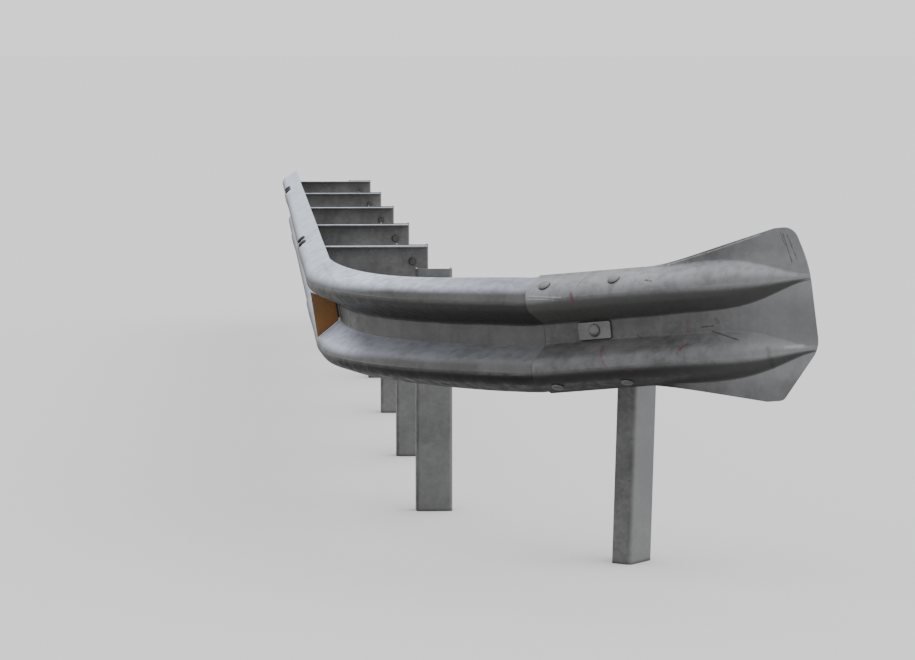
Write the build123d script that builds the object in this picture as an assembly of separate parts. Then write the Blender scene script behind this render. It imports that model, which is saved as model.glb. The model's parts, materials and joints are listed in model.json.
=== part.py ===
"""Steel two-wave road restraint rail: flared end, bend and five bays of the straight run.

Frame: +Y runs along the straight run away from the flared end, +X points away from the
traffic side, +Z up. The origin lies on the foot of post 1, in the middle of its web.
Distances s are measured along the rail from the bend's start toward the flared end.
"""

import math
import os

from build123d import *

os.makedirs("parts", exist_ok=True)

# Rail section: corners of the sheet's middle line, from the valley out to the edge
SHEET = 3.0
RAIL_HEIGHT = 310.0
RAIL_DEPTH = 82.0
VALLEY_HALF = 30.0
VALLEY_R = 12.0
CREST_IN = 74.0
CREST_OUT = 120.0
CREST_R = 36.0
EDGE_DEPTH = 2.2
RAIL_CENTRE = 625.0
RAIL_BACK_X = -317.0

# The straight run hangs from its top edge with its foot set back, and rights itself in the bend
RAIL_LEAN = 9.0
LEAN_HOLD = 80.0
LEAN_FADE = 480.0

# Row of posts
BAY = 1333.0
BAYS_STRAIGHT = 5
POST_WEB = 110.0
POST_FLANGE = 60.0
POST_SHEET = 5.0
POST_BEND = 5.0
POST_TOP = 733.0
POST_TOP_ONE = 741.0
END_POST_TILT = 3.0

# Plan and side view of the bend and of the straight end after it
BEND_START_Y = -50.0
BEND_R = 1400.0
BEND_ARC = 1258.0
BEND_SAG = 4.5
BEND_RISE = 15.0
END_SLOPE = 0.118
EDGE_SQUEEZE = 0.05
EDGE_DRAWN_IN = 0.02
BEND_ROWS = 5
BEND_EASE = 30.0

# Laps: the piece nearer to the flared end lies over the next one
LAP = 320.0
LAP_LEAD = 60.0
LAP_TAPER = 700.0
LAP_CLEARANCE = 0.6
LAP_OFFSET = SHEET + LAP_CLEARANCE
LAP_B_AFTER_BEND = 190.0
FIT_GAP = 0.2

# Flared end: the waves shrink to points on a flat plate whose edges spread
FAN_WAVES = 467.0
FAN_LENGTH = 500.0
FAN_ROWS = 4
FAN_EASE = 30.0
FAN_RIDGE = 91.0
FAN_DEPTH_POWER = 1.2
FAN_WIDTH_POWER = 4.2
FAN_LAST = 0.995
FAN_BLUNT = 0.1
FLARE_START_TOP = 45.0
FLARE_START_FOOT = 5.0
FLARE_SLOPE = 0.2
FOLD_SHARE = 0.86
FOLD_R = 15.0
FOLD_RUN = 140.0
EDGE_LIP = 1.4

# Outline that the flared end is cut to, measured from its start and its middle
FAN_TOP = 223.5
FAN_FOOT = 218.0
TOP_CORNER_BACK = 41.0
TOP_CORNER_R = 43.0
SHOULDER_BACK = 6.0
SHOULDER_HEIGHT = 120.0
SHOULDER_R = 300.0
NOSE_FOOT = 90.0
NOSE_FOOT_R = 70.0
CHAMFER_LONG = 118.0
CHAMFER_R = 25.0

# Spacers between the rail and the posts
SPACER_HEIGHT = 210.0
SPACER_FLANGE = 48.0
SPACER_SHEET = 4.0
SPACER_BEND = 4.0
SPACER_END_X = 50.0
SPACER_DROP_ONE = 20.0

# Fasteners that the holes are made for
BOLT = 16.0
HOLE = BOLT + 2.0
SLOT = 40.0
WEB_BOLT_PITCH = 100.0
BOLT_FROM_WEB = 28.0
PLATE_LENGTH = 100.0
PLATE_HEIGHT = 45.0
PLATE_SHEET = 5.0
PLATE_CORNER = 3.0

# Reflector that stands in the valley of the rail
REFLECTOR_S = 85.0
REFLECTOR_NEAR = 10.0
REFLECTOR_FAR = 77.0
REFLECTOR_HALF_NEAR = 27.0
REFLECTOR_HALF_FAR = 66.0
REFLECTOR_TAB = 46.0
REFLECTOR_TAB_HALF = 20.0
REFLECTOR_RIM = 3.0
FRAME_SHEET = 1.5
LENS_THICK = 4.0
SMALL_HOLE = 9.0

# Places worked out from the sizes above
REAR = SHEET / 2
FRONT = RAIL_DEPTH - SHEET / 2
EDGE_HEIGHT = RAIL_HEIGHT / 2 - SHEET / 2
BOLT_LINE_Y = -POST_SHEET / 2 - SPACER_SHEET - BOLT_FROM_WEB
LAP_B = BEND_ARC + LAP_B_AFTER_BEND
FAN_START = LAP_B + LAP / 2
FAN_END = FAN_START + FAN_LENGTH
BEYOND = 400.0


def fade(x):
    """Smooth step from 0 to 1 while x goes from 0 to 1."""
    x = min(max(x, 0.0), 1.0)
    return x * x * (3 - 2 * x)


def blend(a, b, share):
    return a + (b - a) * share


def centre_z(s):
    """Height of the rail's centre line: level, a slight sag in the bend, then rising."""
    f = min(max(s / BEND_ARC, 0.0), 1.0)
    bend = BEND_RISE * f**3 - BEND_SAG * math.sin(math.pi * f) ** 2
    return RAIL_CENTRE + bend + END_SLOPE * max(s - BEND_ARC, 0.0)


def slope(s):
    if s <= 0:
        return 0.0
    if s >= BEND_ARC:
        return END_SLOPE
    f = s / BEND_ARC
    rise = 3 * BEND_RISE * f**2 - BEND_SAG * math.pi * math.sin(2 * math.pi * f)
    return rise / BEND_ARC


def edge_height(s):
    """Height of the sheet's edge above the rail's centre: bending draws the edges in."""
    f = min(max(s / BEND_ARC, 0.0), 1.0)
    squeeze = EDGE_SQUEEZE * math.sin(math.pi * f) ** 2
    after = min(max((s - BEND_ARC) / (FAN_START - BEND_ARC), 0.0), 1.0)
    return EDGE_HEIGHT * (1 - squeeze - EDGE_DRAWN_IN * after)


def station(s):
    """Middle of the rail's rear plane, then its tangent, outward and upward vectors."""
    a = min(max(s, 0.0), BEND_ARC) / BEND_R
    after = max(s - BEND_ARC, 0.0)
    before = min(s, 0.0)
    x = RAIL_BACK_X + BEND_R * (1 - math.cos(a)) + after * math.sin(a)
    y = BEND_START_Y - BEND_R * math.sin(a) - after * math.cos(a) - before
    tangent = Vector(math.sin(a), -math.cos(a), slope(s)).normalized()
    out = Vector(-math.cos(a), -math.sin(a), 0)
    up = out.cross(tangent).normalized()
    lean = math.radians(RAIL_LEAN) * (1 - fade((s - LEAN_HOLD) / LEAN_FADE))
    top_edge = Vector(x, y, centre_z(s)) + up * (RAIL_HEIGHT / 2)
    leaning_out = out * math.cos(lean) - up * math.sin(lean)
    leaning_up = up * math.cos(lean) + out * math.sin(lean)
    return top_edge - leaning_up * (RAIL_HEIGHT / 2), tangent, leaning_out, leaning_up


def both_halves(foot, top):
    """Corners of the whole section from the two halves, each listed from the valley out."""
    return [(d, -h, r) for d, h, r in reversed(foot)] + top


def wave_corners(s):
    """Corners of the section: depth, height and bend radius of each."""
    half = [
        (REAR, VALLEY_HALF, VALLEY_R),
        (FRONT, CREST_IN, CREST_R),
        (FRONT, CREST_OUT, CREST_R),
        (EDGE_DEPTH, edge_height(s), 0.0),
    ]
    return both_halves(half, half)


def fan_half(s, flare_start):
    """Half of the flared end, with a fold between the wave and its spread edge."""
    t = min(max((s - FAN_START) / FAN_WAVES, 0.0), FAN_LAST)
    width = max(1 - t**FAN_WIDTH_POWER, FAN_BLUNT)
    crest = blend(REAR, FRONT, 1 - t**FAN_DEPTH_POWER)
    folded = fade((s - FAN_START) / FOLD_RUN)
    edge = edge_height(s)
    share = blend(FOLD_SHARE, 1.0, folded)
    fold_depth = blend(blend(FRONT, EDGE_DEPTH, share), REAR, folded)
    fold_height = blend(CREST_OUT, edge, share)
    flare = max(s - FAN_START - flare_start, 0.0) * FLARE_SLOPE
    return [
        (REAR, blend(FAN_RIDGE, VALLEY_HALF, width), VALLEY_R),
        (crest, blend(FAN_RIDGE, CREST_IN, width), CREST_R * width),
        (crest, blend(FAN_RIDGE, CREST_OUT, width), CREST_R * width),
        (fold_depth, blend(FAN_RIDGE, fold_height, width), FOLD_R),
        (blend(EDGE_DEPTH, REAR, folded), edge + EDGE_LIP + flare, 0.0),
    ]


def fan_corners(s):
    return both_halves(fan_half(s, FLARE_START_FOOT), fan_half(s, FLARE_START_TOP))


def unit(ax, ay):
    n = math.hypot(ax, ay)
    return ax / n, ay / n


def offset_side(pts, off):
    """Line and arc pieces of the middle line moved by off toward the traffic side."""
    last = len(pts) - 1
    dirs = [unit(b[0] - a[0], b[1] - a[1]) for a, b in zip(pts, pts[1:])]
    here = (pts[0][0] + dirs[0][1] * off, pts[0][1] - dirs[0][0] * off)
    chain = []
    for i in range(1, last):
        e1 = dirs[i - 1]
        e2 = dirs[i]
        along = e1[0] * e2[0] + e1[1] * e2[1]
        turn = math.atan2(e1[0] * e2[1] - e1[1] * e2[0], along)
        k = off / (1 + along)
        p = (pts[i][0] + (e1[1] + e2[1]) * k, pts[i][1] - (e1[0] + e2[0]) * k)
        side = math.copysign(1, turn)
        r = pts[i][2] + side * off
        t = r * math.tan(abs(turn) / 2)
        a = (p[0] - e1[0] * t, p[1] - e1[1] * t)
        b = (p[0] + e2[0] * t, p[1] + e2[1] * t)
        c = (a[0] - side * e1[1] * r, a[1] + side * e1[0] * r)
        m = unit(p[0] - c[0], p[1] - c[1])
        chain.append((here, a))
        chain.append((a, (c[0] + m[0] * r, c[1] + m[1] * r), b))
        here = b
    tip = (pts[last][0] + dirs[-1][1] * off, pts[last][1] - dirs[-1][0] * off)
    return chain + [(here, tip)]


def section(s, off=0.0, corners=wave_corners):
    """Closed outline of the sheet at s, moved out by off where it lies over a lap."""
    origin, _, out, up = station(s)
    front = offset_side(corners(s), off + SHEET / 2)
    rear = offset_side(corners(s), off - SHEET / 2)
    rear = [tuple(reversed(piece)) for piece in reversed(rear)]
    chain = front + [(front[-1][-1], rear[0][0])] + rear + [(rear[-1][-1], front[0][0])]
    edges = []
    for piece in chain:
        placed = [origin + out * d + up * h for d, h in piece]
        make = Edge.make_line if len(placed) == 2 else Edge.make_three_point_arc
        edges.append(make(*placed))
    return Wire(edges)


def straight(*rows):
    """Rail between two stations, with straight lines between its sections."""
    return Solid.make_loft([section(*row) for row in rows], True)


def curved(*rows):
    return Solid.make_loft([section(*row) for row in rows], False)


def lap_over(lap):
    """Near end of a rail that lies over the next one at a lap, down to its taper."""
    lead = lap + LAP / 2 + LAP_LEAD
    over = straight((lap - LAP / 2, LAP_OFFSET), (lead, LAP_OFFSET))
    return over + straight((lead, LAP_OFFSET), (lead + LAP_TAPER,)), lead + LAP_TAPER


def rail_plane(s, d):
    """Plane on the rail at s: local x along the rail, local z toward the traffic."""
    origin, tangent, out, _ = station(s)
    return Plane(origin + out * d, x_dir=tangent, z_dir=out)


def valley_slot(s):
    """Slot through the valley for the bolt to the spacer."""
    return rail_plane(s, 0) * extrude(SlotOverall(SLOT, HOLE), SLOT, both=True)


def bolt_s(k):
    """Distance along the rail of the bolt at straight post k."""
    return BEND_START_Y - (BOLT_LINE_Y + BAY * (k - 1))


def save(shape, name):
    export_step(shape, "parts/" + name + ".step")


# Straight rails: one length over three bays, then the start of the next
LAP_A = bolt_s(2)
LAP_C = bolt_s(5)
RUN_END = bolt_s(BAYS_STRAIGHT + 1) - LAP / 2


def make_rail_1():
    rail, taper_end = lap_over(LAP_C)
    rail += straight((taper_end,), (LAP_A + LAP / 2,))
    for k in range(2, 6):
        rail -= valley_slot(bolt_s(k))
    return rail


def make_rail_2():
    rail = straight((RUN_END,), (LAP_C + LAP / 2,))
    return rail - valley_slot(LAP_C) - valley_slot(bolt_s(BAYS_STRAIGHT + 1))


# Curved rail: lies over rail_1 at one end and under the flared end at the other
def make_rail_curved():
    rail, taper_end = lap_over(LAP_A)
    rail += straight((taper_end,), (0.0,))
    stops = [BEND_ARC * i / BEND_ROWS for i in range(BEND_ROWS + 1)]
    stops += [BEND_EASE, REFLECTOR_S, BEND_ARC - BEND_EASE]
    rail += curved(*[(s,) for s in sorted(stops)])
    rail += straight((BEND_ARC,), (FAN_START,))
    for s in (LAP_A, bolt_s(1), LAP_B):
        rail -= valley_slot(s)
    return rail


def fan_outline():
    """Outline that the flared end is cut to, in the rail's plane at FAN_START."""
    nose = FAN_LENGTH * math.hypot(1, END_SLOPE)
    rounded = [
        ((nose - TOP_CORNER_BACK, FAN_TOP), TOP_CORNER_R),
        ((nose - SHOULDER_BACK, SHOULDER_HEIGHT), SHOULDER_R),
        ((nose, -NOSE_FOOT), NOSE_FOOT_R),
        ((nose - CHAMFER_LONG, -FAN_FOOT), CHAMFER_R),
    ]
    corners = [(-BEYOND, -BEYOND), (-BEYOND, BEYOND), (nose / 2, BEYOND), (nose / 2, FAN_TOP)]
    corners += [place for place, _ in rounded]
    corners += [(nose / 2, -FAN_FOOT), (nose / 2, -BEYOND)]
    face = make_face(Polyline(*corners, close=True))
    for place, radius in rounded:
        face = fillet(face.vertices().sort_by_distance((*place, 0))[:1], radius)
    return face


def make_rail_terminal():
    rail = straight(
        (LAP_B - LAP / 2, LAP_OFFSET, fan_corners), (FAN_START, LAP_OFFSET, fan_corners)
    )
    steps = [math.sin(math.pi / 2 * i / FAN_ROWS) for i in range(FAN_ROWS)]
    stops = [FAN_START, FAN_START + FAN_EASE]
    stops += [FAN_START + FAN_WAVES * t for t in steps[1:]] + [FAN_END + SHEET]
    rail += curved(*[(s, LAP_OFFSET, fan_corners) for s in stops])
    trim = extrude(rail_plane(FAN_START, 0) * fan_outline(), RAIL_DEPTH * 2, both=True)
    return (rail & trim) - valley_slot(LAP_B)


def channel(width, depth, sheet, bend):
    """U section: web on the X axis with its outer face at y=0, flanges toward +Y."""
    outer = Rectangle(width, depth, align=(Align.CENTER, Align.MIN))
    inner = Rectangle(width - 2 * sheet, depth, align=(Align.CENTER, Align.MIN))
    face = outer - Pos(0, sheet) * inner
    face = fillet(face.vertices().sort_by(Axis.Y)[:2], bend + sheet)
    near = [v for v in face.vertices() if abs(v.Y - sheet) < 0.01]
    return fillet(near, bend)


def web_holes(height):
    """Tools for the two bolts between a spacer and its post."""
    drill = Rot(90, 0, 0) * Cylinder(HOLE / 2, SPACER_FLANGE)
    return [Pos(0, 0, height + dz) * drill for dz in (-WEB_BOLT_PITCH / 2, WEB_BOLT_PITCH / 2)]


def post(base, top, bolts, tilt=0.0):
    """U post cut level at the ground; a tilt turns it in its web's plane at its bolts."""
    body = extrude(channel(POST_WEB, POST_FLANGE, POST_SHEET, POST_BEND), top + BEYOND)
    body = Pos(0, -POST_SHEET / 2, -BEYOND - bolts) * body
    body = Pos(0, 0, bolts) * Rot(0, tilt, 0) * body
    body -= Box(BEYOND, BEYOND, 2 * BEYOND, align=(Align.CENTER, Align.CENTER, Align.MAX))
    for drill in web_holes(bolts):
        body -= drill
    return base * body


def spacer(base, s, bolts, drop=0.0):
    """Channel on edge from the post's web to the rail's back, closed by a front plate."""
    length = SPACER_END_X - RAIL_BACK_X + BEYOND
    middle = (SPACER_END_X - length, -POST_SHEET / 2, bolts - drop)
    lie = Plane(origin=(0, 0, 0), x_dir=(0, 0, 1), z_dir=(1, 0, 0))
    body = lie * extrude(channel(SPACER_HEIGHT, SPACER_FLANGE, SPACER_SHEET, SPACER_BEND), length)
    body = base * Pos(*middle) * body
    seat = rail_plane(s, -FIT_GAP)
    level = (Align.CENTER, Align.CENTER, Align.MIN)
    body -= seat * Box(BEYOND, BEYOND, 2 * BEYOND, align=level)
    envelope = Box(length, SPACER_FLANGE, SPACER_HEIGHT, align=(Align.MIN, Align.MAX, Align.CENTER))
    plate = seat * Pos(0, 0, -SPACER_SHEET) * Box(BEYOND, BEYOND, SPACER_SHEET, align=level)
    body += plate & (base * Pos(*middle) * envelope)
    for drill in web_holes(bolts):
        body -= base * drill
    return body - rail_plane(s, 0) * Cylinder(HOLE / 2, 4 * SPACER_SHEET)


def cover_plate(s, front):
    """Plate in the valley under the bolt's head; front is the rail's front face."""
    level = (Align.CENTER, Align.CENTER, Align.MIN)
    body = Box(PLATE_LENGTH, PLATE_HEIGHT, PLATE_SHEET, align=level)
    body = chamfer(body.edges().filter_by(Axis.Z), PLATE_CORNER)
    body -= Cylinder(HOLE / 2, 4 * PLATE_SHEET)
    return rail_plane(s, front + FIT_GAP) * body


def make_support(label, base, s, top, lapped, drop=0.0, tilt=0.0):
    """Post, spacer and cover plate that carry the rail at s."""
    bolts = centre_z(s)
    front = SHEET + (LAP_OFFSET if lapped else 0.0)
    save(post(base, top, bolts, tilt), "post_" + label)
    save(spacer(base, s, bolts, drop), "spacer_" + label)
    save(cover_plate(s, front), "cover_plate_" + label)


# Reflector: a lens in a thin folded frame that stands square to the rail
def make_reflector():
    """Frame, lens and the tool for the small hole under the frame's tab."""
    origin, tangent, out, _ = station(REFLECTOR_S)
    place = Plane(origin, x_dir=out, z_dir=tangent)
    lens_outline = make_face(
        Polyline(
            (REFLECTOR_NEAR, -REFLECTOR_HALF_NEAR),
            (REFLECTOR_FAR, -REFLECTOR_HALF_FAR),
            (REFLECTOR_FAR, REFLECTOR_HALF_FAR),
            (REFLECTOR_NEAR, REFLECTOR_HALF_NEAR),
            close=True,
        )
    )
    outer = offset(lens_outline, FRAME_SHEET, kind=Kind.INTERSECTION)
    bracket = extrude(outer, FRAME_SHEET)
    bracket += Pos(0, 0, FRAME_SHEET) * extrude(outer - lens_outline, REFLECTOR_RIM)
    seat = SHEET + FIT_GAP
    low = Pos(seat, -REFLECTOR_TAB_HALF, 0)
    bracket += low * Box(REFLECTOR_NEAR - seat, 2 * REFLECTOR_TAB_HALF, FRAME_SHEET, align=Align.MIN)
    bracket += low * Box(FRAME_SHEET, 2 * REFLECTOR_TAB_HALF, REFLECTOR_TAB, align=Align.MIN)
    drill = Rot(0, 90, 0) * Cylinder(SMALL_HOLE / 2, REFLECTOR_TAB)
    drill = place * (Pos(0, 0, (REFLECTOR_TAB + SMALL_HOLE) / 2) * drill)
    inner = offset(lens_outline, -FIT_GAP, kind=Kind.INTERSECTION)
    lens = Pos(0, 0, FRAME_SHEET + FIT_GAP) * extrude(inner, LENS_THICK)
    return place * bracket - drill, place * lens, drill


save(make_rail_terminal(), "rail_terminal")
save(make_rail_1(), "rail_1")
save(make_rail_2(), "rail_2")

for k in range(1, BAYS_STRAIGHT + 2):
    base = Pos(0, BAY * (k - 1), 0)
    first = k == 1
    make_support(
        str(k),
        base,
        bolt_s(k),
        POST_TOP_ONE if first else POST_TOP,
        lapped=k in (2, 5),
        drop=SPACER_DROP_ONE if first else 0.0,
    )

# End post: under the middle of the flared end's lap, turned with the rail
lap_middle = station(LAP_B)[0]
turned = Pos(lap_middle.X, lap_middle.Y, 0) * Rot(0, 0, math.degrees(BEND_ARC / BEND_R))
end_base = turned * Pos(-RAIL_BACK_X, -BOLT_LINE_Y, 0)
end_top = POST_TOP + centre_z(LAP_B) - RAIL_CENTRE
make_support("end", end_base, LAP_B, end_top, lapped=True, tilt=END_POST_TILT)

reflector_bracket, reflector_lens, reflector_drill = make_reflector()
save(reflector_bracket, "reflector_bracket")
save(reflector_lens, "reflector_lens")
save(make_rail_curved() - reflector_drill, "rail_curved")
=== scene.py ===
import json
import math
from typing import NamedTuple

import bmesh
import bpy
from mathutils import Matrix, Vector


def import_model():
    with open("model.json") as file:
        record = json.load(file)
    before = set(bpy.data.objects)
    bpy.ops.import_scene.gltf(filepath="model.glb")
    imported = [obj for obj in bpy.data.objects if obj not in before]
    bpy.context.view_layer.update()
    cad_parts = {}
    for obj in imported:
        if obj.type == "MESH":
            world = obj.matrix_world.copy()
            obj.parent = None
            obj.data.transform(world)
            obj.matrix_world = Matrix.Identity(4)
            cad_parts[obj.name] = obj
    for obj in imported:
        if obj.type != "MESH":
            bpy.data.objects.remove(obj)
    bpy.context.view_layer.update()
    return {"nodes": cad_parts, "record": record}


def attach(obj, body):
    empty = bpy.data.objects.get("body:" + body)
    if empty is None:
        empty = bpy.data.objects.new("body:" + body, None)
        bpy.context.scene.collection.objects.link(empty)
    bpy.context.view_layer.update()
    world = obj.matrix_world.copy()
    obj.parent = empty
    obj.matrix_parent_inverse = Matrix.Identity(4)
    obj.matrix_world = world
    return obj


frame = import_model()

nodes = frame["nodes"]

# Sizes repeated from the part, in metres
RAIL_HEIGHT = 0.31
RAIL_BACK_X = -0.317
RAIL_CENTRE = 0.625
RAIL_LEAN = math.radians(9)
LEAN_HOLD = 0.08
LEAN_FADE = 0.48
BAY = 1.333
POSTS_STRAIGHT = 6
BEND_START_Y = -0.05
BEND_R = 1.4
BEND_ARC = 1.258
BEND_SAG = 0.0045
BEND_RISE = 0.015
END_SLOPE = 0.118
LAP_B = BEND_ARC + 0.19
LAP = 0.32
BOLT_COLUMNS = 0.216
BOLT_LINE_Y = -0.0345
WEB_BOLT_PITCH = 0.1
END_X = RAIL_BACK_X + BEND_R * (1 - math.cos(BEND_ARC / BEND_R))
POST_WEB_FRONT = -0.0025
SPACER_SHEET = 0.004
SPLICE_BOLT_TOP = 0.131
SPLICE_BOLT_FOOT = 0.139

# Camera, solved from the photograph
FOCAL_PX = 3250.0
IMAGE_WIDTH_PX = 915.0
IMAGE_HEIGHT_PX = 660.0
CAMERA_PLACE = Vector((-0.5564, -9.81, 1.4153))
CAMERA_DOWN = math.radians(5.007)
CAMERA_RIGHT = math.radians(3.655)
SENSOR_WIDTH_MM = 36
SIGHT_LIMIT = 2000


def fade(x):
    x = min(max(x, 0.0), 1.0)
    return x * x * (3 - 2 * x)


def station(s):
    """Middle of the rail's rear plane at s, then its tangent, outward and upward vectors."""
    f = min(max(s / BEND_ARC, 0.0), 1.0)
    a = f * BEND_ARC / BEND_R
    after = max(s - BEND_ARC, 0.0)
    x = RAIL_BACK_X + BEND_R * (1 - math.cos(a)) + after * math.sin(a)
    y = BEND_START_Y - BEND_R * math.sin(a) - after * math.cos(a) - min(s, 0.0)
    z = RAIL_CENTRE + BEND_RISE * f**3 - BEND_SAG * math.sin(math.pi * f) ** 2
    slope = END_SLOPE
    if s < BEND_ARC:
        rise = 3 * BEND_RISE * f**2 - BEND_SAG * math.pi * math.sin(2 * math.pi * f)
        slope = rise / BEND_ARC
    tangent = Vector((math.sin(a), -math.cos(a), slope)).normalized()
    out = Vector((-math.cos(a), -math.sin(a), 0))
    up = out.cross(tangent).normalized()
    lean = RAIL_LEAN * (1 - fade((s - LEAN_HOLD) / LEAN_FADE))
    top_edge = Vector((x, y, z + END_SLOPE * after)) + up * RAIL_HEIGHT / 2
    leaning_out = out * math.cos(lean) - up * math.sin(lean)
    leaning_up = up * math.cos(lean) + out * math.sin(lean)
    return top_edge - leaning_up * RAIL_HEIGHT / 2, tangent, leaning_out, leaning_up


def bolt_s(k):
    """Distance along the rail of the bolt at post k of the straight run."""
    return BEND_START_Y - (BOLT_LINE_Y + BAY * (k - 1))


def add_object(name, data):
    made = bpy.data.objects.new(name, data)
    bpy.context.scene.collection.objects.link(made)
    return made


# Shader nodes
def node(tree, kind, **inputs):
    n = tree.nodes.new(kind)
    for key, value in inputs.items():
        if key in n.inputs:
            n.inputs[key].default_value = value
        else:
            setattr(n, key, value)
    return n


def feed(tree, socket, value):
    """Links a node's output to the socket, or sets the socket to a plain value."""
    if hasattr(value, "links"):
        tree.links.new(value, socket)
    else:
        socket.default_value = value


def noise(tree, coords, scale, detail=4.0, roughness=0.55, stretch=(1, 1, 1)):
    mapping = node(tree, "ShaderNodeMapping", Scale=stretch)
    tree.links.new(coords, mapping.inputs["Vector"])
    n = node(tree, "ShaderNodeTexNoise", Scale=scale, Detail=detail, Roughness=roughness)
    tree.links.new(mapping.outputs[0], n.inputs["Vector"])
    return n.outputs["Fac"]


def cells(tree, coords, scale):
    n = node(tree, "ShaderNodeTexVoronoi", Scale=scale)
    tree.links.new(coords, n.inputs["Vector"])
    return n.outputs


def axes(tree, vector):
    n = node(tree, "ShaderNodeSeparateXYZ")
    tree.links.new(vector, n.inputs[0])
    return n.outputs


def ramp(tree, value, low, high, first=0.0, last=1.0, steps="SMOOTHSTEP"):
    """From first, where value is low, to last, where it is high, and no farther."""
    n = node(tree, "ShaderNodeMapRange", interpolation_type=steps)
    n.clamp = True
    for key, v in (("Value", value), ("From Min", low), ("From Max", high)):
        feed(tree, n.inputs[key], v)
    feed(tree, n.inputs["To Min"], first)
    feed(tree, n.inputs["To Max"], last)
    return n.outputs["Result"]


def mix(tree, factor, a, b):
    """Colour a where factor is 0, colour b where it is 1."""
    n = node(tree, "ShaderNodeMix", data_type="RGBA")
    # The node names its sockets alike for each kind of data, so they are taken by number
    for value, socket in ((factor, n.inputs[0]), (a, n.inputs[6]), (b, n.inputs[7])):
        feed(tree, socket, value)
    return n.outputs[2]


def mix_value(tree, factor, a, b):
    """Number a where factor is 0, number b where it is 1."""
    n = node(tree, "ShaderNodeMix", data_type="FLOAT")
    for value, socket in ((factor, n.inputs[0]), (a, n.inputs[2]), (b, n.inputs[3])):
        feed(tree, socket, value)
    return n.outputs[0]


def maths(tree, operation, a, b):
    n = node(tree, "ShaderNodeMath", operation=operation)
    feed(tree, n.inputs[0], a)
    feed(tree, n.inputs[1], b)
    return n.outputs[0]


def product(tree, first, *others):
    for other in others:
        first = maths(tree, "MULTIPLY", first, other)
    return first


def vector_maths(tree, operation, a, b):
    n = node(tree, "ShaderNodeVectorMath", operation=operation)
    feed(tree, n.inputs[0], a)
    feed(tree, n.inputs[1], b)
    return n.outputs["Value" if operation in ("DISTANCE", "DOT_PRODUCT") else "Vector"]


def scaled(tree, vector, factor):
    n = node(tree, "ShaderNodeVectorMath", operation="SCALE")
    n.inputs[0].default_value = vector
    tree.links.new(factor, n.inputs["Scale"])
    return n.outputs["Vector"]


def bump(tree, height, strength, distance):
    n = node(tree, "ShaderNodeBump", Strength=strength, Distance=distance)
    tree.links.new(height, n.inputs["Height"])
    return n


def grey(value, warm=0.0):
    return (value * (1 + warm), value, value * (1 - warm), 1.0)


def new_material(name):
    m = bpy.data.materials.new(name)
    m.use_nodes = True
    tree = m.node_tree
    coords = tree.nodes.new("ShaderNodeTexCoord").outputs["Object"]
    return m, tree, tree.nodes["Principled BSDF"], coords


# Stains and scratches, with painted shade in creases and other places, and painted highlights
class Mark(NamedTuple):
    """A line on a piece, from start to end in the photograph's pixels, half width in metres."""
    start: tuple
    end: tuple
    half_width: float
    strength: float
    tint: tuple


RED = (0.10, 0.03, 0.04, 1)
BLACK = (0.009, 0.009, 0.01, 1)
PALE = (0.5, 0.5, 0.52, 1)
END_MARKS = {
    "smudge below the cover plate": Mark((602, 347), (601, 357), 0.0080, 0.42, RED),
    "smudge on the lower wave": Mark((602, 360), (607, 368), 0.0050, 0.32, RED),
    "smudge in the valley": Mark((688, 321), (688, 331), 0.0090, 0.32, RED),
    "short smudge, upper part": Mark((680, 349), (687, 344), 0.0072, 0.7, RED),
    "short smudge, lower part": Mark((676, 354), (681, 349), 0.0048, 0.5, RED),
    "smudge on the upper wave": Mark((571, 294), (573, 302), 0.0077, 0.7, RED),
    "smudge under the lower wave": Mark((625, 368), (632, 371), 0.0053, 0.35, RED),
    "faint wide red film": Mark((605, 348), (660, 347), 0.0216, 0.12, RED),
    "long rub by the lap": Mark((528, 296), (561, 297.5), 0.0022, 0.35, PALE),
    "short rub by the lap": Mark((528, 299), (553, 300), 0.0019, 0.25, PALE),
    "left scratch in the upper corner": Mark((783, 234), (792, 262), 0.0022, 0.6, BLACK),
    "right scratch in the upper corner": Mark((787, 235), (797, 259), 0.0022, 0.6, BLACK),
    "short scratch in the upper corner": Mark((780, 232), (785, 245), 0.0019, 0.4, BLACK),
    "spot over the creases": Mark((716, 319), (718, 322), 0.0080, 0.3, BLACK),
    # Painted shade in creases
    "painted shade in the short crease": Mark((702, 327), (713, 326), 0.0029, 0.6, BLACK),
    "painted shade in the long crease": Mark((712, 331), (738, 340), 0.0029, 0.6, BLACK),
    "nick in the valley": Mark((637, 335), (641, 338), 0.0048, 0.35, BLACK),
    "scratch between the lap bolts": Mark((577, 287), (587, 277), 0.0024, 0.5, BLACK),
    "nick past the lap bolts": Mark((645, 280), (651, 281), 0.0043, 0.6, BLACK),
    "nick over the post": Mark((622, 371), (624, 378), 0.0038, 0.4, BLACK),
    # Painted shade in a dent
    "painted shade in the dent at the lower tip": Mark((768, 350), (773, 366), 0.0120, 0.25, BLACK),
    "pale mark at the lower tip": Mark((785, 347), (803, 346), 0.0070, 0.3, PALE),
    # Painted highlight along the flared plate's top edge
    "painted highlight on the top edge, first half": Mark((668, 264.5), (712, 251), 0.0020, 0.4, PALE),
    "painted highlight on the top edge, second half": Mark((712, 251), (760, 234.5), 0.0020, 0.4, PALE),
}
CURVED_MARKS = {
    "upper scuff on the run": Mark((301, 231), (309, 227), 0.0096, 0.5, BLACK),
    "first dark scuff": Mark((301, 236), (307, 232), 0.0072, 0.8, BLACK),
    "second dark scuff": Mark((302, 243), (308, 238), 0.0072, 0.8, BLACK),
    "third dark scuff": Mark((308, 243), (311, 240), 0.0072, 0.8, BLACK),
    "lower shade in the bend": Mark((322, 262), (330, 258), 0.0090, 0.16, BLACK),
    "upper shade in the bend": Mark((316, 258), (326, 250), 0.0110, 0.12, BLACK),
    "shade beside the bend": Mark((296, 252), (300, 262), 0.0096, 0.2, BLACK),
    "shade on the upper wave": Mark((386, 290), (394, 296), 0.0144, 0.2, BLACK),
}
# Share of the depth under a mark's chord that is taken away, as the chord sinks under a curve
ALONG_NORMAL = 0.95
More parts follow.
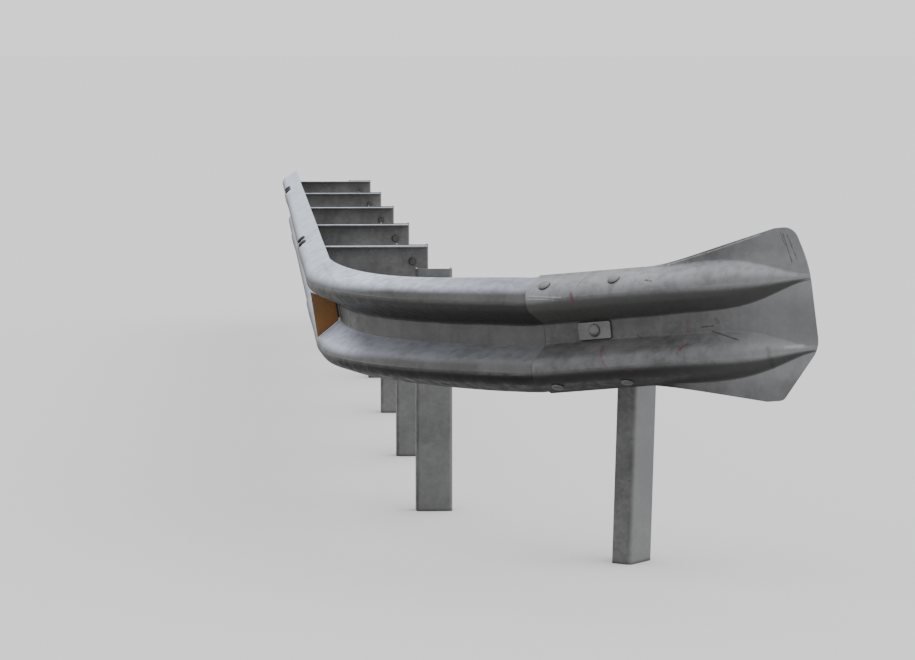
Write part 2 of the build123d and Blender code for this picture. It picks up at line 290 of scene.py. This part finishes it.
# Shares of a mark's half width: how uneven it is, its solid middle, and where it has faded out
MARK_UNEVEN = 0.5
MARK_SOLID = 0.2
MARK_FADED = 1.35


def seen(node_name, pixel):
    """Place on a node's surface at a pixel of the photograph, and the normal there."""
    across = (pixel[0] - IMAGE_WIDTH_PX / 2) / FOCAL_PX
    down = (pixel[1] - IMAGE_HEIGHT_PX / 2) / FOCAL_PX
    turn = Matrix.Rotation(-CAMERA_RIGHT, 3, "Z") @ Matrix.Rotation(-CAMERA_DOWN, 3, "X")
    toward = (turn @ Vector((across, 1, -down))).normalized()
    found, place, normal, _ = nodes[node_name].ray_cast(CAMERA_PLACE, toward)
    return (place, normal) if found else (CAMERA_PLACE, toward)


def stroke(tree, coords, ragged, node_name, mark):
    """1 along a mark on the node's surface, 0 past its slightly ragged edge."""
    start, normal = seen(node_name, mark.start)
    end, other = seen(node_name, mark.end)
    normal = (normal + other).normalized()
    span = end - start
    span -= normal * span.dot(normal) * ALONG_NORMAL
    away = vector_maths(tree, "SUBTRACT", coords, start)
    depth = vector_maths(tree, "DOT_PRODUCT", away, normal * ALONG_NORMAL)
    away = vector_maths(tree, "SUBTRACT", away, scaled(tree, normal, depth))
    reach = max(span.length_squared, 1e-9)
    share = vector_maths(tree, "DOT_PRODUCT", away, span / reach)
    share = ramp(tree, share, low=0.0, high=1.0, steps="LINEAR")
    distance = vector_maths(tree, "DISTANCE", away, scaled(tree, span, share))
    width = mark.half_width
    uneven = ramp(tree, ragged, low=0.35, high=0.65, last=width * MARK_UNEVEN)
    distance = maths(tree, "ADD", distance, uneven)
    return ramp(tree, distance, width * MARK_SOLID, width * MARK_FADED, 1.0, 0.0)


def marked(tree, coords, normal, colour, node_name, marks, marks_s):
    """The marks over the colour, on the side that faces the traffic at the place marks_s."""
    ragged = noise(tree, coords, scale=90.0, detail=5.0, roughness=0.7)
    outward = station(marks_s)[2]
    front = vector_maths(tree, "DOT_PRODUCT", normal, outward)
    front = ramp(tree, front, low=-0.3, high=0.1)
    for mark in marks.values():
        line = stroke(tree, coords, ragged, node_name, mark)
        shown = product(tree, line, maths(tree, "MULTIPLY", front, mark.strength))
        colour = mix(tree, shown, colour, mark.tint)
    return colour


# Materials
class DustAndTopLight(NamedTuple):
    """Dust and painted top light on top faces."""
    strength: float
    colour: tuple


class GrimeAndShade(NamedTuple):
    """Painted shade with grime on faces that look down."""
    strength: float
    tone: float


# The normal's upward share where dust and painted top light start, and where they are full
DUST_AND_LIGHT_SLOPE = 0.2
DUST_AND_LIGHT_FULL_SLOPE = 0.92
# Colours of the dust and painted top light
LAVENDER_DUST_AND_LIGHT = (0.65, 0.72, 0.86, 1)
GREY_DUST_AND_LIGHT = (0.335, 0.34, 0.365, 1)
# Brightness of each layer, as a share of the zinc's own tone
CLOUD_TONE = 1.3
SPANGLE_TONE = 0.6
ROLLING_TONE = 0.5
RAIN_TONE = 0.45
PALER_TONE = 2.2
SPECK_TONE = 0.35
CREVICE_SHADE_TONE = 0.25
WORN_HIGHLIGHT_TONE = 2.6
BRIGHTEST_WEAR_HIGHLIGHT = 0.4
# Band of painted shadow and dirt before a lapped edge, in metres
LAP_SHADOW_AND_DIRT_WIDTH = 0.0022
LAP_SHADOW_AND_DIRT_PAST = 0.002


def lap_shadow_and_dirt(tree, coords, s):
    """Painted shadow with dirt: 1 in a narrow band before the cross-section at s, along a
    lapped edge.
    """
    origin, tangent, _, _ = station(s)
    before = vector_maths(tree, "DOT_PRODUCT", coords, -tangent)
    before = maths(tree, "ADD", before, origin.dot(tangent))
    near = ramp(tree, before, LAP_SHADOW_AND_DIRT_WIDTH, LAP_SHADOW_AND_DIRT_WIDTH * 2.0, 1.0, 0.0)
    return product(tree, near, ramp(tree, before, low=-LAP_SHADOW_AND_DIRT_PAST, high=0.0))


def crevice_shade_and_grime(tree):
    """Painted shade with grime: 1 in crevices and round bolt heads, 0 on open faces."""
    n = node(tree, "ShaderNodeAmbientOcclusion", samples=8, Distance=0.02)
    return ramp(tree, n.outputs["AO"], low=0.35, high=0.85, first=1.0, last=0.0)


def worn_and_highlit_edges(tree, geometry):
    """Worn edges with painted highlights: up to 0.5 along sharp edges, where the zinc is rubbed
    bright and catches the light, 0 on flat faces.
    """
    n = node(tree, "ShaderNodeBevel", samples=4, Radius=0.0025)
    turned = vector_maths(tree, "DOT_PRODUCT", n.outputs[0], geometry.outputs["Normal"])
    return ramp(tree, turned, low=0.85, high=0.65, last=0.5)


def bare_zinc(tree, coords, patches, mottle, tone, mottling, rolled):
    """Weathered zinc without dust: patches, mottling, spangle, rolling lines and rain marks."""
    light = grey(tone * (1 + mottling))
    dark = grey(tone * (1 - mottling), 0.01)
    colour = mix(tree, ramp(tree, patches, low=0.35, high=0.65), dark, light)
    clouds = ramp(tree, mottle, low=0.4, high=0.7, last=mottling * 2)
    colour = mix(tree, clouds, colour, grey(tone * CLOUD_TONE))

    grain = node(tree, "ShaderNodeSeparateColor")
    tree.links.new(cells(tree, coords, scale=85.0)["Color"], grain.inputs[0])
    spangle = ramp(tree, grain.outputs[0], low=0, high=1, last=mottling)
    colour = mix(tree, spangle, colour, grey(tone * SPANGLE_TONE))

    rolling = noise(tree, coords, scale=9.0, detail=3.0, roughness=0.6, stretch=(1, 1, 26))
    lines = ramp(tree, rolling, low=0.45, high=0.7, last=rolled)
    colour = mix(tree, lines, colour, grey(tone * ROLLING_TONE))

    rain = noise(tree, coords, scale=26.0, detail=4.0, roughness=0.6, stretch=(1, 1, 0.07))
    runs = ramp(tree, rain, low=0.5, high=0.75, last=0.3)
    return mix(tree, runs, colour, grey(tone * RAIN_TONE, 0.04))


def galvanised(name, tone, dust, grime_and_shade, mottling=0.16, rolled=0.1, node_name=None, marks=None,
               marks_s=0.0, along=None, laps=()):
    """Weathered zinc of the given tone, with dust and painted top light on top faces, painted
    shade with grime below, painted shade with grime in crevices, painted shadow with dirt along
    lapped edges, worn edges with painted highlights, and marks.

    along(tree, place, normal) may change the finish from place to place: the share of dust and
    painted top light, its starting slope, how far the bare metal is brightened, and how far the
    painted underside shade darkens towards black.
    """
    m, tree, shader, coords = new_material(name)
    patches = noise(tree, coords, scale=6.0, detail=5.0)
    mottle = noise(tree, coords, scale=38.0, detail=6.0, roughness=0.65)
    speck = noise(tree, coords, scale=300.0, detail=3.0, roughness=0.7)
    colour = bare_zinc(tree, coords, patches, mottle, tone, mottling, rolled)

    geometry = tree.nodes.new("ShaderNodeNewGeometry")
    normal = axes(tree, geometry.outputs["Normal"])
    if along:
        share, slope, bright, under_shade = along(tree, axes(tree, coords), normal)
        # Paler bare metal: painted side light on the posts, and paleness towards the end
        # piece's flared edge
        colour = mix(tree, bright, colour, grey(tone * PALER_TONE, -0.02))
    else:
        share, slope, under_shade = 1.0, DUST_AND_LIGHT_SLOPE, 0.0

    # Dust and painted top light: faces that look up are paler
    dusty_and_lit = ramp(tree, normal["Z"], slope, DUST_AND_LIGHT_FULL_SLOPE, 0.0, dust.strength)
    washed = ramp(tree, mottle, low=0.34, high=0.6, first=0.66)
    washed = product(tree, washed, ramp(tree, patches, low=0.36, high=0.56, first=0.84))
    colour = mix(tree, product(tree, dusty_and_lit, washed, share), colour, dust.colour)

    # Painted shade with grime: faces that look down are darker, down to black where under_shade
    # is given
    facing_down = ramp(tree, normal["Z"], low=0.02, high=-0.42, last=grime_and_shade.strength)
    colour = mix(tree, facing_down, colour, grey(grime_and_shade.tone, 0.02))
    colour = mix(tree, product(tree, facing_down, under_shade), colour, BLACK)
    specks = ramp(tree, speck, low=0.62, high=0.74, last=0.5)
    colour = mix(tree, specks, colour, grey(tone * SPECK_TONE, 0.08))
    if marks:
        facing = geometry.outputs["Normal"]
        colour = marked(tree, coords, facing, colour, node_name, marks, marks_s)

    # Painted shade with grime in crevices, from ambient occlusion
    colour = mix(tree, crevice_shade_and_grime(tree), colour, grey(tone * CREVICE_SHADE_TONE, 0.05))
    # Worn edges with painted highlights: sharp edges are paler
    edges = product(tree, worn_and_highlit_edges(tree, geometry), ramp(tree, speck, low=0.35, high=0.5))
    rubbed_highlight = grey(min(tone * WORN_HIGHLIGHT_TONE, BRIGHTEST_WEAR_HIGHLIGHT), -0.01)
    colour = mix(tree, edges, colour, rubbed_highlight)
    # Painted shadow with dirt before each lapped edge
    for s_edge in laps:
        colour = mix(tree, lap_shadow_and_dirt(tree, coords, s_edge), colour, BLACK)

    tree.links.new(colour, shader.inputs["Base Color"])
    shader.inputs["Metallic"].default_value = 0.3
    shader.inputs["Specular IOR Level"].default_value = 0.08
    rough = ramp(tree, mottle, low=0.3, high=0.7, first=0.44, last=0.66)
    tree.links.new(rough, shader.inputs["Roughness"])
    fine = bump(tree, mottle, strength=0.3, distance=0.001)
    dents = bump(tree, patches, strength=0.45, distance=0.006)
    tree.links.new(fine.outputs[0], dents.inputs["Normal"])
    tree.links.new(dents.outputs[0], shader.inputs["Normal"])
    return m


AMBER = (0.17, 0.066, 0.012, 1)
DUSTY_AMBER = (0.11, 0.055, 0.022, 1)
BRIGHT_AMBER = (0.24, 0.11, 0.03, 1)


def amber_lens():
    """Moulded retroreflective plastic, dusty and faded."""
    m, tree, shader, coords = new_material("amber_lens")
    distance = cells(tree, coords, scale=260.0)["Distance"]
    dust = noise(tree, coords, scale=25.0, detail=5.0)
    colour = mix(tree, ramp(tree, dust, low=0.35, high=0.7), AMBER, DUSTY_AMBER)
    glint = ramp(tree, distance, low=0.1, high=0.5, last=0.35)
    colour = mix(tree, glint, colour, BRIGHT_AMBER)
    tree.links.new(colour, shader.inputs["Base Color"])
    shader.inputs["Roughness"].default_value = 0.38
    shader.inputs["Specular IOR Level"].default_value = 0.3
    relief = bump(tree, distance, strength=0.5, distance=0.001)
    tree.links.new(relief.outputs[0], shader.inputs["Normal"])
    return m


def height_on_rail(tree, place, tilt=0.0, reach=0.7):
    """Height above the rail's middle; tilt is the rise per metre of X past the bend."""
    rise = ramp(tree, place["X"], END_X, END_X + reach, 0.0, reach * tilt, "LINEAR")
    middle = maths(tree, "ADD", rise, RAIL_CENTRE)
    return maths(tree, "SUBTRACT", place["Z"], middle)


def along_rail(tree, place, normal):
    """Thick dust and painted top light on the straight run, thinner and only on the top round
    the bend, and painted shade under the lower wave.
    """
    round_bend = ramp(tree, place["X"], low=-0.33, high=-0.13)
    height = height_on_rail(tree, place)
    lower_wave = ramp(tree, height, low=0.03, high=-0.03)
    lower_wave = product(tree, lower_wave, ramp(tree, place["X"], low=-0.34, high=-0.2))
    share = product(
        tree,
        ramp(tree, place["X"], low=-0.26, high=0.14, first=1.0, last=0.4),
        ramp(tree, lower_wave, low=0, high=1, first=1.0, last=0.26),
        ramp(tree, normal["X"], low=0.1, high=0.4, first=1.0, last=0.45),
    )
    slope = ramp(tree, round_bend, low=0, high=1, first=0.05, last=0.36)
    # Painted shade: the lower wave's downward faces are darkened towards black
    under_shade = ramp(tree, height, low=-0.03, high=-0.1, last=0.9)
    return share, slope, 0.0, under_shade


def along_end(tree, place, normal):
    """The end piece is barer, with least dust and painted top light in its valley, paler
    towards its flared edge, and painted shade under its lower wave that weakens towards the
    flared edge.
    """
    height = height_on_rail(tree, place, tilt=0.15)
    off_middle = maths(tree, "ABSOLUTE", height, 0.0)
    outward = ramp(tree, place["X"], low=0.4, high=0.8)
    low = ramp(tree, height, low=0.03, high=-0.03, first=1.0, last=0.62)
    share = product(
        tree,
        mix_value(tree, outward, low, 0.94),
        ramp(tree, off_middle, low=0.03, high=0.1, first=0.22, last=1.0),
        ramp(tree, off_middle, low=0.16, high=0.2, first=1.0, last=0.5),
        ramp(tree, height, low=-0.12, high=-0.17, first=1.0, last=0.5),
    )
    bright = product(
        tree,
        ramp(tree, place["X"], low=0.6, high=0.82, last=0.5),
        ramp(tree, height, low=-0.12, high=-0.17, first=1.0, last=0.4),
    )
    # Painted shade: the lower wave's downward faces are darkened towards black
    under_shade = ramp(tree, height, low=-0.03, high=-0.1, last=0.9)
    slope = -0.6
    return share, slope, bright, mix_value(tree, outward, under_shade, 0.2)


def painted_side_light(tree, place, normal):
    """Painted light: posts are paler on the side that faces away from the traffic, as if lit
    from that side.
    """
    bright = ramp(tree, normal["X"], low=-0.75, high=0.9, last=0.62)
    return 1.0, DUST_AND_LIGHT_SLOPE, bright, 0.0


rail_steel = galvanised(
    "rail_steel", 0.094, DustAndTopLight(1.0, LAVENDER_DUST_AND_LIGHT), GrimeAndShade(0.95, 0.027),
    mottling=0.14, rolled=0.05, node_name="rail_curved", marks=CURVED_MARKS, marks_s=0.0,
    along=along_rail, laps=[s - LAP / 2 for s in (LAP_B, bolt_s(2), bolt_s(5))]
)
end_steel = galvanised(
    "end_steel", 0.08, DustAndTopLight(0.9, GREY_DUST_AND_LIGHT), GrimeAndShade(0.9, 0.052),
    mottling=0.3, rolled=0.12, node_name="rail_terminal", marks=END_MARKS, marks_s=LAP_B,
    along=along_end
)
post_steel = galvanised(
    "post_steel", 0.098, DustAndTopLight(0.5, GREY_DUST_AND_LIGHT), GrimeAndShade(0.5, 0.06),
    mottling=0.36, along=painted_side_light
)
spacer_steel = galvanised(
    "spacer_steel", 0.12, DustAndTopLight(1.0, LAVENDER_DUST_AND_LIGHT), GrimeAndShade(0.6, 0.03), mottling=0.26
)
small_steel = galvanised("small_steel", 0.145, DustAndTopLight(0.5, GREY_DUST_AND_LIGHT), GrimeAndShade(0.6, 0.04))
bolt_steel = galvanised("bolt_steel", 0.07, DustAndTopLight(0.4, GREY_DUST_AND_LIGHT), GrimeAndShade(0.7, 0.02))
dark_steel = galvanised("dark_bolt_steel", 0.022, DustAndTopLight(0.2, GREY_DUST_AND_LIGHT), GrimeAndShade(0.7, 0.015))
finish_of = {
    "rail_steel": rail_steel,
    "end_steel": end_steel,
    "post_steel": post_steel,
    "spacer_steel": spacer_steel,
    "small_steel": small_steel,
    "amber_lens": amber_lens(),
}
for part in frame["record"]["subparts"]:
    piece = nodes[part["node"]]
    piece.data.materials.clear()
    piece.data.materials.append(finish_of[part["material_slot"]])


# Fasteners, in metres
ROUND_HEAD_RADIUS = 0.0165
ROUND_HEAD_RISE = 0.0095
ROUND_HEAD_RIM = 0.002
ROUND_HEAD_STEPS = 6
NUT_WASHER_RADIUS = 0.016
NUT_WASHER = 0.003
NUT_FLATS = 0.024
NUT_HEIGHT = 0.013
SHANK_RADIUS = 0.008
SHANK_TIP_RADIUS = 0.0068
SHANK_LENGTH = 0.02
SHANK_TIP = 0.022
HEX_WASHER_RADIUS = 0.0125
HEX_WASHER = 0.002
HEX_FLATS = 0.021
HEX_HEIGHT = 0.010
CHAMFER_SHARE = 0.88
ROUND_STEPS = 28
SHANK_STEPS = 16
# Where a ray that finds a bolt's seat starts: beside the hole, ahead of the rail or behind it
BESIDE_HOLE = 0.014
AHEAD_OF_LAP = 0.3
AHEAD_OF_PLATE = 0.2
BEHIND_RAIL = 0.1


def lathe(bm, profile, place, axis, steps=ROUND_STEPS):
    """Turned solid: profile is (radius, height) pairs from the seat to the top."""
    turn = axis.to_track_quat("Z", "Y").to_matrix().to_4x4()
    seat = Matrix.Translation(place) @ turn
    rings = []
    for r, z in profile:
        ring = []
        for i in range(steps):
            t = 2 * math.pi * i / steps
            ring.append(bm.verts.new(seat @ Vector((r * math.cos(t), r * math.sin(t), z))))
        rings.append(ring)
    for low, high in zip(rings, rings[1:]):
        for i in range(steps):
            j = (i + 1) % steps
            bm.faces.new((low[i], low[j], high[j], high[i]))
    bm.faces.new(list(reversed(rings[0])))
    bm.faces.new(rings[-1])


def hexagon(bm, flats, height, place, axis):
    """Six-sided nut or head with its top edge chamfered."""
    corner = flats / math.sqrt(3)
    profile = [(corner, 0), (corner, height * CHAMFER_SHARE), (corner * CHAMFER_SHARE, height)]
    lathe(bm, profile, place, axis, steps=6)


def round_head(bm, place, axis):
    """Domed head of a rail bolt, on a short upright rim."""
    profile = [(ROUND_HEAD_RADIUS, 0), (ROUND_HEAD_RADIUS, ROUND_HEAD_RIM)]
    dome = ROUND_HEAD_RISE - ROUND_HEAD_RIM
    for i in range(1, ROUND_HEAD_STEPS):
        t = math.pi / 2 * i / ROUND_HEAD_STEPS
        height = ROUND_HEAD_RIM + dome * math.sin(t)
        profile.append((ROUND_HEAD_RADIUS * math.cos(t), height))
    lathe(bm, profile, place, axis)


def nut_end(bm, place, axis):
    """Washer, nut and the shank's end."""
    on_washer = place + axis * NUT_WASHER
    shank = [(SHANK_RADIUS, 0), (SHANK_RADIUS, SHANK_LENGTH), (SHANK_TIP_RADIUS, SHANK_TIP)]
    lathe(bm, [(NUT_WASHER_RADIUS, 0), (NUT_WASHER_RADIUS, NUT_WASHER)], place, axis)
    hexagon(bm, NUT_FLATS, NUT_HEIGHT, on_washer, axis)
    lathe(bm, shank, on_washer, axis, SHANK_STEPS)


def hex_end(bm, place, axis):
    """Hexagon head on its washer."""
    lathe(bm, [(HEX_WASHER_RADIUS, 0), (HEX_WASHER_RADIUS, HEX_WASHER)], place, axis)
    hexagon(bm, HEX_FLATS, HEX_HEIGHT, place + axis * HEX_WASHER, axis)


def finish_piece(bm, name, material):
    mesh = bpy.data.meshes.new(name)
    bmesh.ops.recalc_face_normals(bm, faces=bm.faces)
    bm.to_mesh(mesh)
    bm.free()
    piece = add_object(name, mesh)
    piece.data.materials.append(material)
    for face in mesh.polygons:
        face.use_smooth = len(face.vertices) == 4
    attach(piece, "root")


def hit(names, start, toward):
    """Nearest surface of the named nodes from start, as (point, normal)."""
    best = None
    for name in names:
        found, place, normal, _ = nodes[name].ray_cast(start, toward)
        if found and (best is None or (place - start).length < (best[0] - start).length):
            best = (place, normal)
    return best


def lap_bolts(name, s_lap, over, under, material):
    """Four round-headed bolts through the outer slopes of two nested rails."""
    bm = bmesh.new()
    for s in (s_lap - BOLT_COLUMNS / 2, s_lap + BOLT_COLUMNS / 2):
        origin, _, out, up = station(s)
        for height in (SPLICE_BOLT_TOP, -SPLICE_BOLT_FOOT):
            ahead = origin + up * height + out * AHEAD_OF_LAP
            front, normal = hit([over, under], ahead, -out)
            round_head(bm, front, normal)
            rear, _ = hit([over, under], front - normal * BEHIND_RAIL, normal)
            nut_end(bm, rear, -normal)
    finish_piece(bm, name, material)


lap_bolts("lap_bolts_end", LAP_B, "rail_terminal", "rail_curved", small_steel)
lap_bolts("lap_bolts_2", bolt_s(2), "rail_curved", "rail_1", dark_steel)
lap_bolts("lap_bolts_5", bolt_s(5), "rail_1", "rail_2", dark_steel)


def rail_bolt(bm, label, s):
    """Round head on the cover plate and nut behind the spacer's front plate."""
    origin, tangent, out, _ = station(s)
    aside = tangent * BESIDE_HOLE
    ahead = origin + out * AHEAD_OF_PLATE + aside
    front, _ = hit(["cover_plate_" + label], ahead, -out)
    round_head(bm, front - aside, out)
    behind = origin - out * BEHIND_RAIL + aside
    rear, _ = hit(["spacer_" + label], behind, out)
    nut_end(bm, rear - aside, -out)


def web_bolts(bm, base, height):
    """Two bolts between the spacer's web and the post's web."""
    ahead = (base.to_3x3() @ Vector((0, -1, 0))).normalized()
    for dz in (-WEB_BOLT_PITCH / 2, WEB_BOLT_PITCH / 2):
        seat = base @ Vector((0, POST_WEB_FRONT - SPACER_SHEET, height + dz))
        hex_end(bm, seat, ahead)
        far = base @ Vector((0, -POST_WEB_FRONT, height + dz))
        nut_end(bm, far, -ahead)


# Each post's label, with the place of its bolt along the rail, its base and its bolts' height
supports = {}
for k in range(1, POSTS_STRAIGHT + 1):
    supports[str(k)] = (bolt_s(k), Matrix.Translation((0, BAY * (k - 1), 0)), RAIL_CENTRE)
end_origin = station(LAP_B)[0]
end_base = Matrix.Translation((end_origin.x, end_origin.y, 0))
end_base = end_base @ Matrix.Rotation(BEND_ARC / BEND_R, 4, "Z")
end_base = end_base @ Matrix.Translation((-RAIL_BACK_X, -BOLT_LINE_Y, 0))
supports["end"] = (LAP_B, end_base, end_origin.z)
for label, (s, base, height) in supports.items():
    bm = bmesh.new()
    rail_bolt(bm, label, s)
    finish_piece(bm, "rail_bolt_" + label, small_steel)
    bm = bmesh.new()
    web_bolts(bm, base, height)
    finish_piece(bm, "web_bolts_" + label, bolt_steel)


# Floor, light and camera: the floor and the sky are equally bright, so no horizon shows
WORLD_LIGHT = 1.25
FLOOR_TONE = 0.68
FLOOR_HALF = 400
FLOOR_CELLS = 8
SOFT_SUN = 1.85
SUN_ANGLE = math.radians(100)
SUN_TOWARD = Vector((-0.5, 0.25, -1))


def floor():
    bm = bmesh.new()
    bmesh.ops.create_grid(bm, x_segments=FLOOR_CELLS, y_segments=FLOOR_CELLS, size=FLOOR_HALF)
    mesh = bpy.data.meshes.new("floor")
    bm.to_mesh(mesh)
    bm.free()
    ground = add_object("floor", mesh)
    m, _, shader, _ = new_material("floor")
    shader.inputs["Base Color"].default_value = grey(FLOOR_TONE)
    shader.inputs["Roughness"].default_value = 1.0
    shader.inputs["Specular IOR Level"].default_value = 0.0
    mesh.materials.append(m)


def soft_sun():
    """Wide overhead light, as from an even bright sky, slightly from the front right."""
    light = bpy.data.lights.new("soft_sun", "SUN")
    light.energy = SOFT_SUN
    light.angle = SUN_ANGLE
    lamp = add_object("soft_sun", light)
    lamp.rotation_euler = SUN_TOWARD.to_track_quat("-Z", "Y").to_euler()


def world():
    w = bpy.data.worlds.new("studio")
    w.use_nodes = True
    background = w.node_tree.nodes["Background"]
    background.inputs[0].default_value = grey(1.0)
    background.inputs[1].default_value = WORLD_LIGHT
    bpy.context.scene.world = w


floor()
world()
soft_sun()

camera = bpy.data.cameras.new("camera")
camera.sensor_width = SENSOR_WIDTH_MM
camera.lens = SENSOR_WIDTH_MM * FOCAL_PX / IMAGE_WIDTH_PX
camera.clip_end = SIGHT_LIMIT
eye = add_object("camera", camera)
eye.location = CAMERA_PLACE
eye.rotation_euler = (math.pi / 2 - CAMERA_DOWN, 0, -CAMERA_RIGHT)
bpy.context.scene.camera = eye

bpy.context.view_layer.update()
